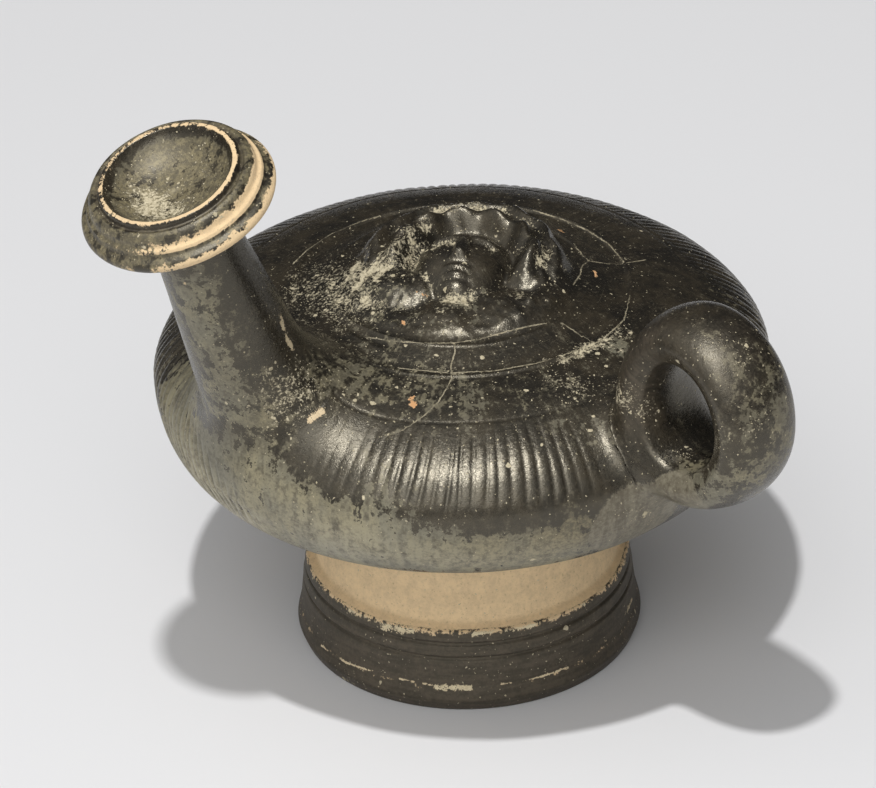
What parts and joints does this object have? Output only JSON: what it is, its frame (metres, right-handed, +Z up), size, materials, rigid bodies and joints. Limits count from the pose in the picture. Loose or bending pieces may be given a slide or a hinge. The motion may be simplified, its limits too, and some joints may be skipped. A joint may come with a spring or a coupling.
{
  "type": "guttus",
  "caption": "Ancient black-glazed oil pourer: flattened ribbed body with a relief medallion, leaning spout with a moulded disc mouth, ring handle and turned foot.",
  "frame": {"origin": "At table level, under the middle of the box around the whole pot.", "axes": "+Z is up, +X points from the body towards the spout, and +Y from the body towards the handle."},
  "size_m": [0.1318, 0.1322, 0.1205],
  "materials": {
    "black_gloss": "brownish-black gloss slip over pale clay, worn and dusty"
  },
  "bodies": {
    "root": {"guttus": "black_gloss"}
  },
  "joints": []
}
